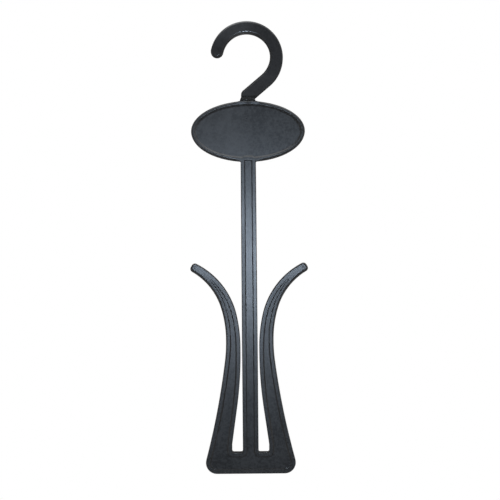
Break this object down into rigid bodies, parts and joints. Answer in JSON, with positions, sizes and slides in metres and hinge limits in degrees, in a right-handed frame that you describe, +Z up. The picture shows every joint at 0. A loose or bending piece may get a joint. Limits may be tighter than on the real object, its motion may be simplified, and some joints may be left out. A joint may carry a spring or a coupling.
{
  "type": "sandal hanger",
  "caption": "Moulded plastic sandal hanger: a rail hook that swivels in a flat body with an oval plate, a stem and sprung arms that grip the straps.",
  "frame": {"origin": "centre of the hook's eye, which is the rail's axis when the eye is full", "axes": "+Z up, +Y from the front face to the back, +X to the right seen from the front; the swivel axis is parallel to Z and lies 0.6 mm to the right of the origin"},
  "size_m": [0.0834, 0.008, 0.3204],
  "materials": {
    "body_plastic": "moulded black polypropylene, fine satin grain, faint flow marks",
    "hook_plastic": "moulded black plastic, smoother and a little darker than the body"
  },
  "bodies": {
    "hook": {"swivel_hook": "hook_plastic"},
    "hanger": {"hanger_body": "body_plastic"}
  },
  "joints": [
    {"name": "hook_swivel", "type": "hinge", "parent": "hook", "child": "hanger", "pos_m": [0.0006, 0, -0.0345], "axis": [0, 0, 1], "continuous": true}
  ]
}
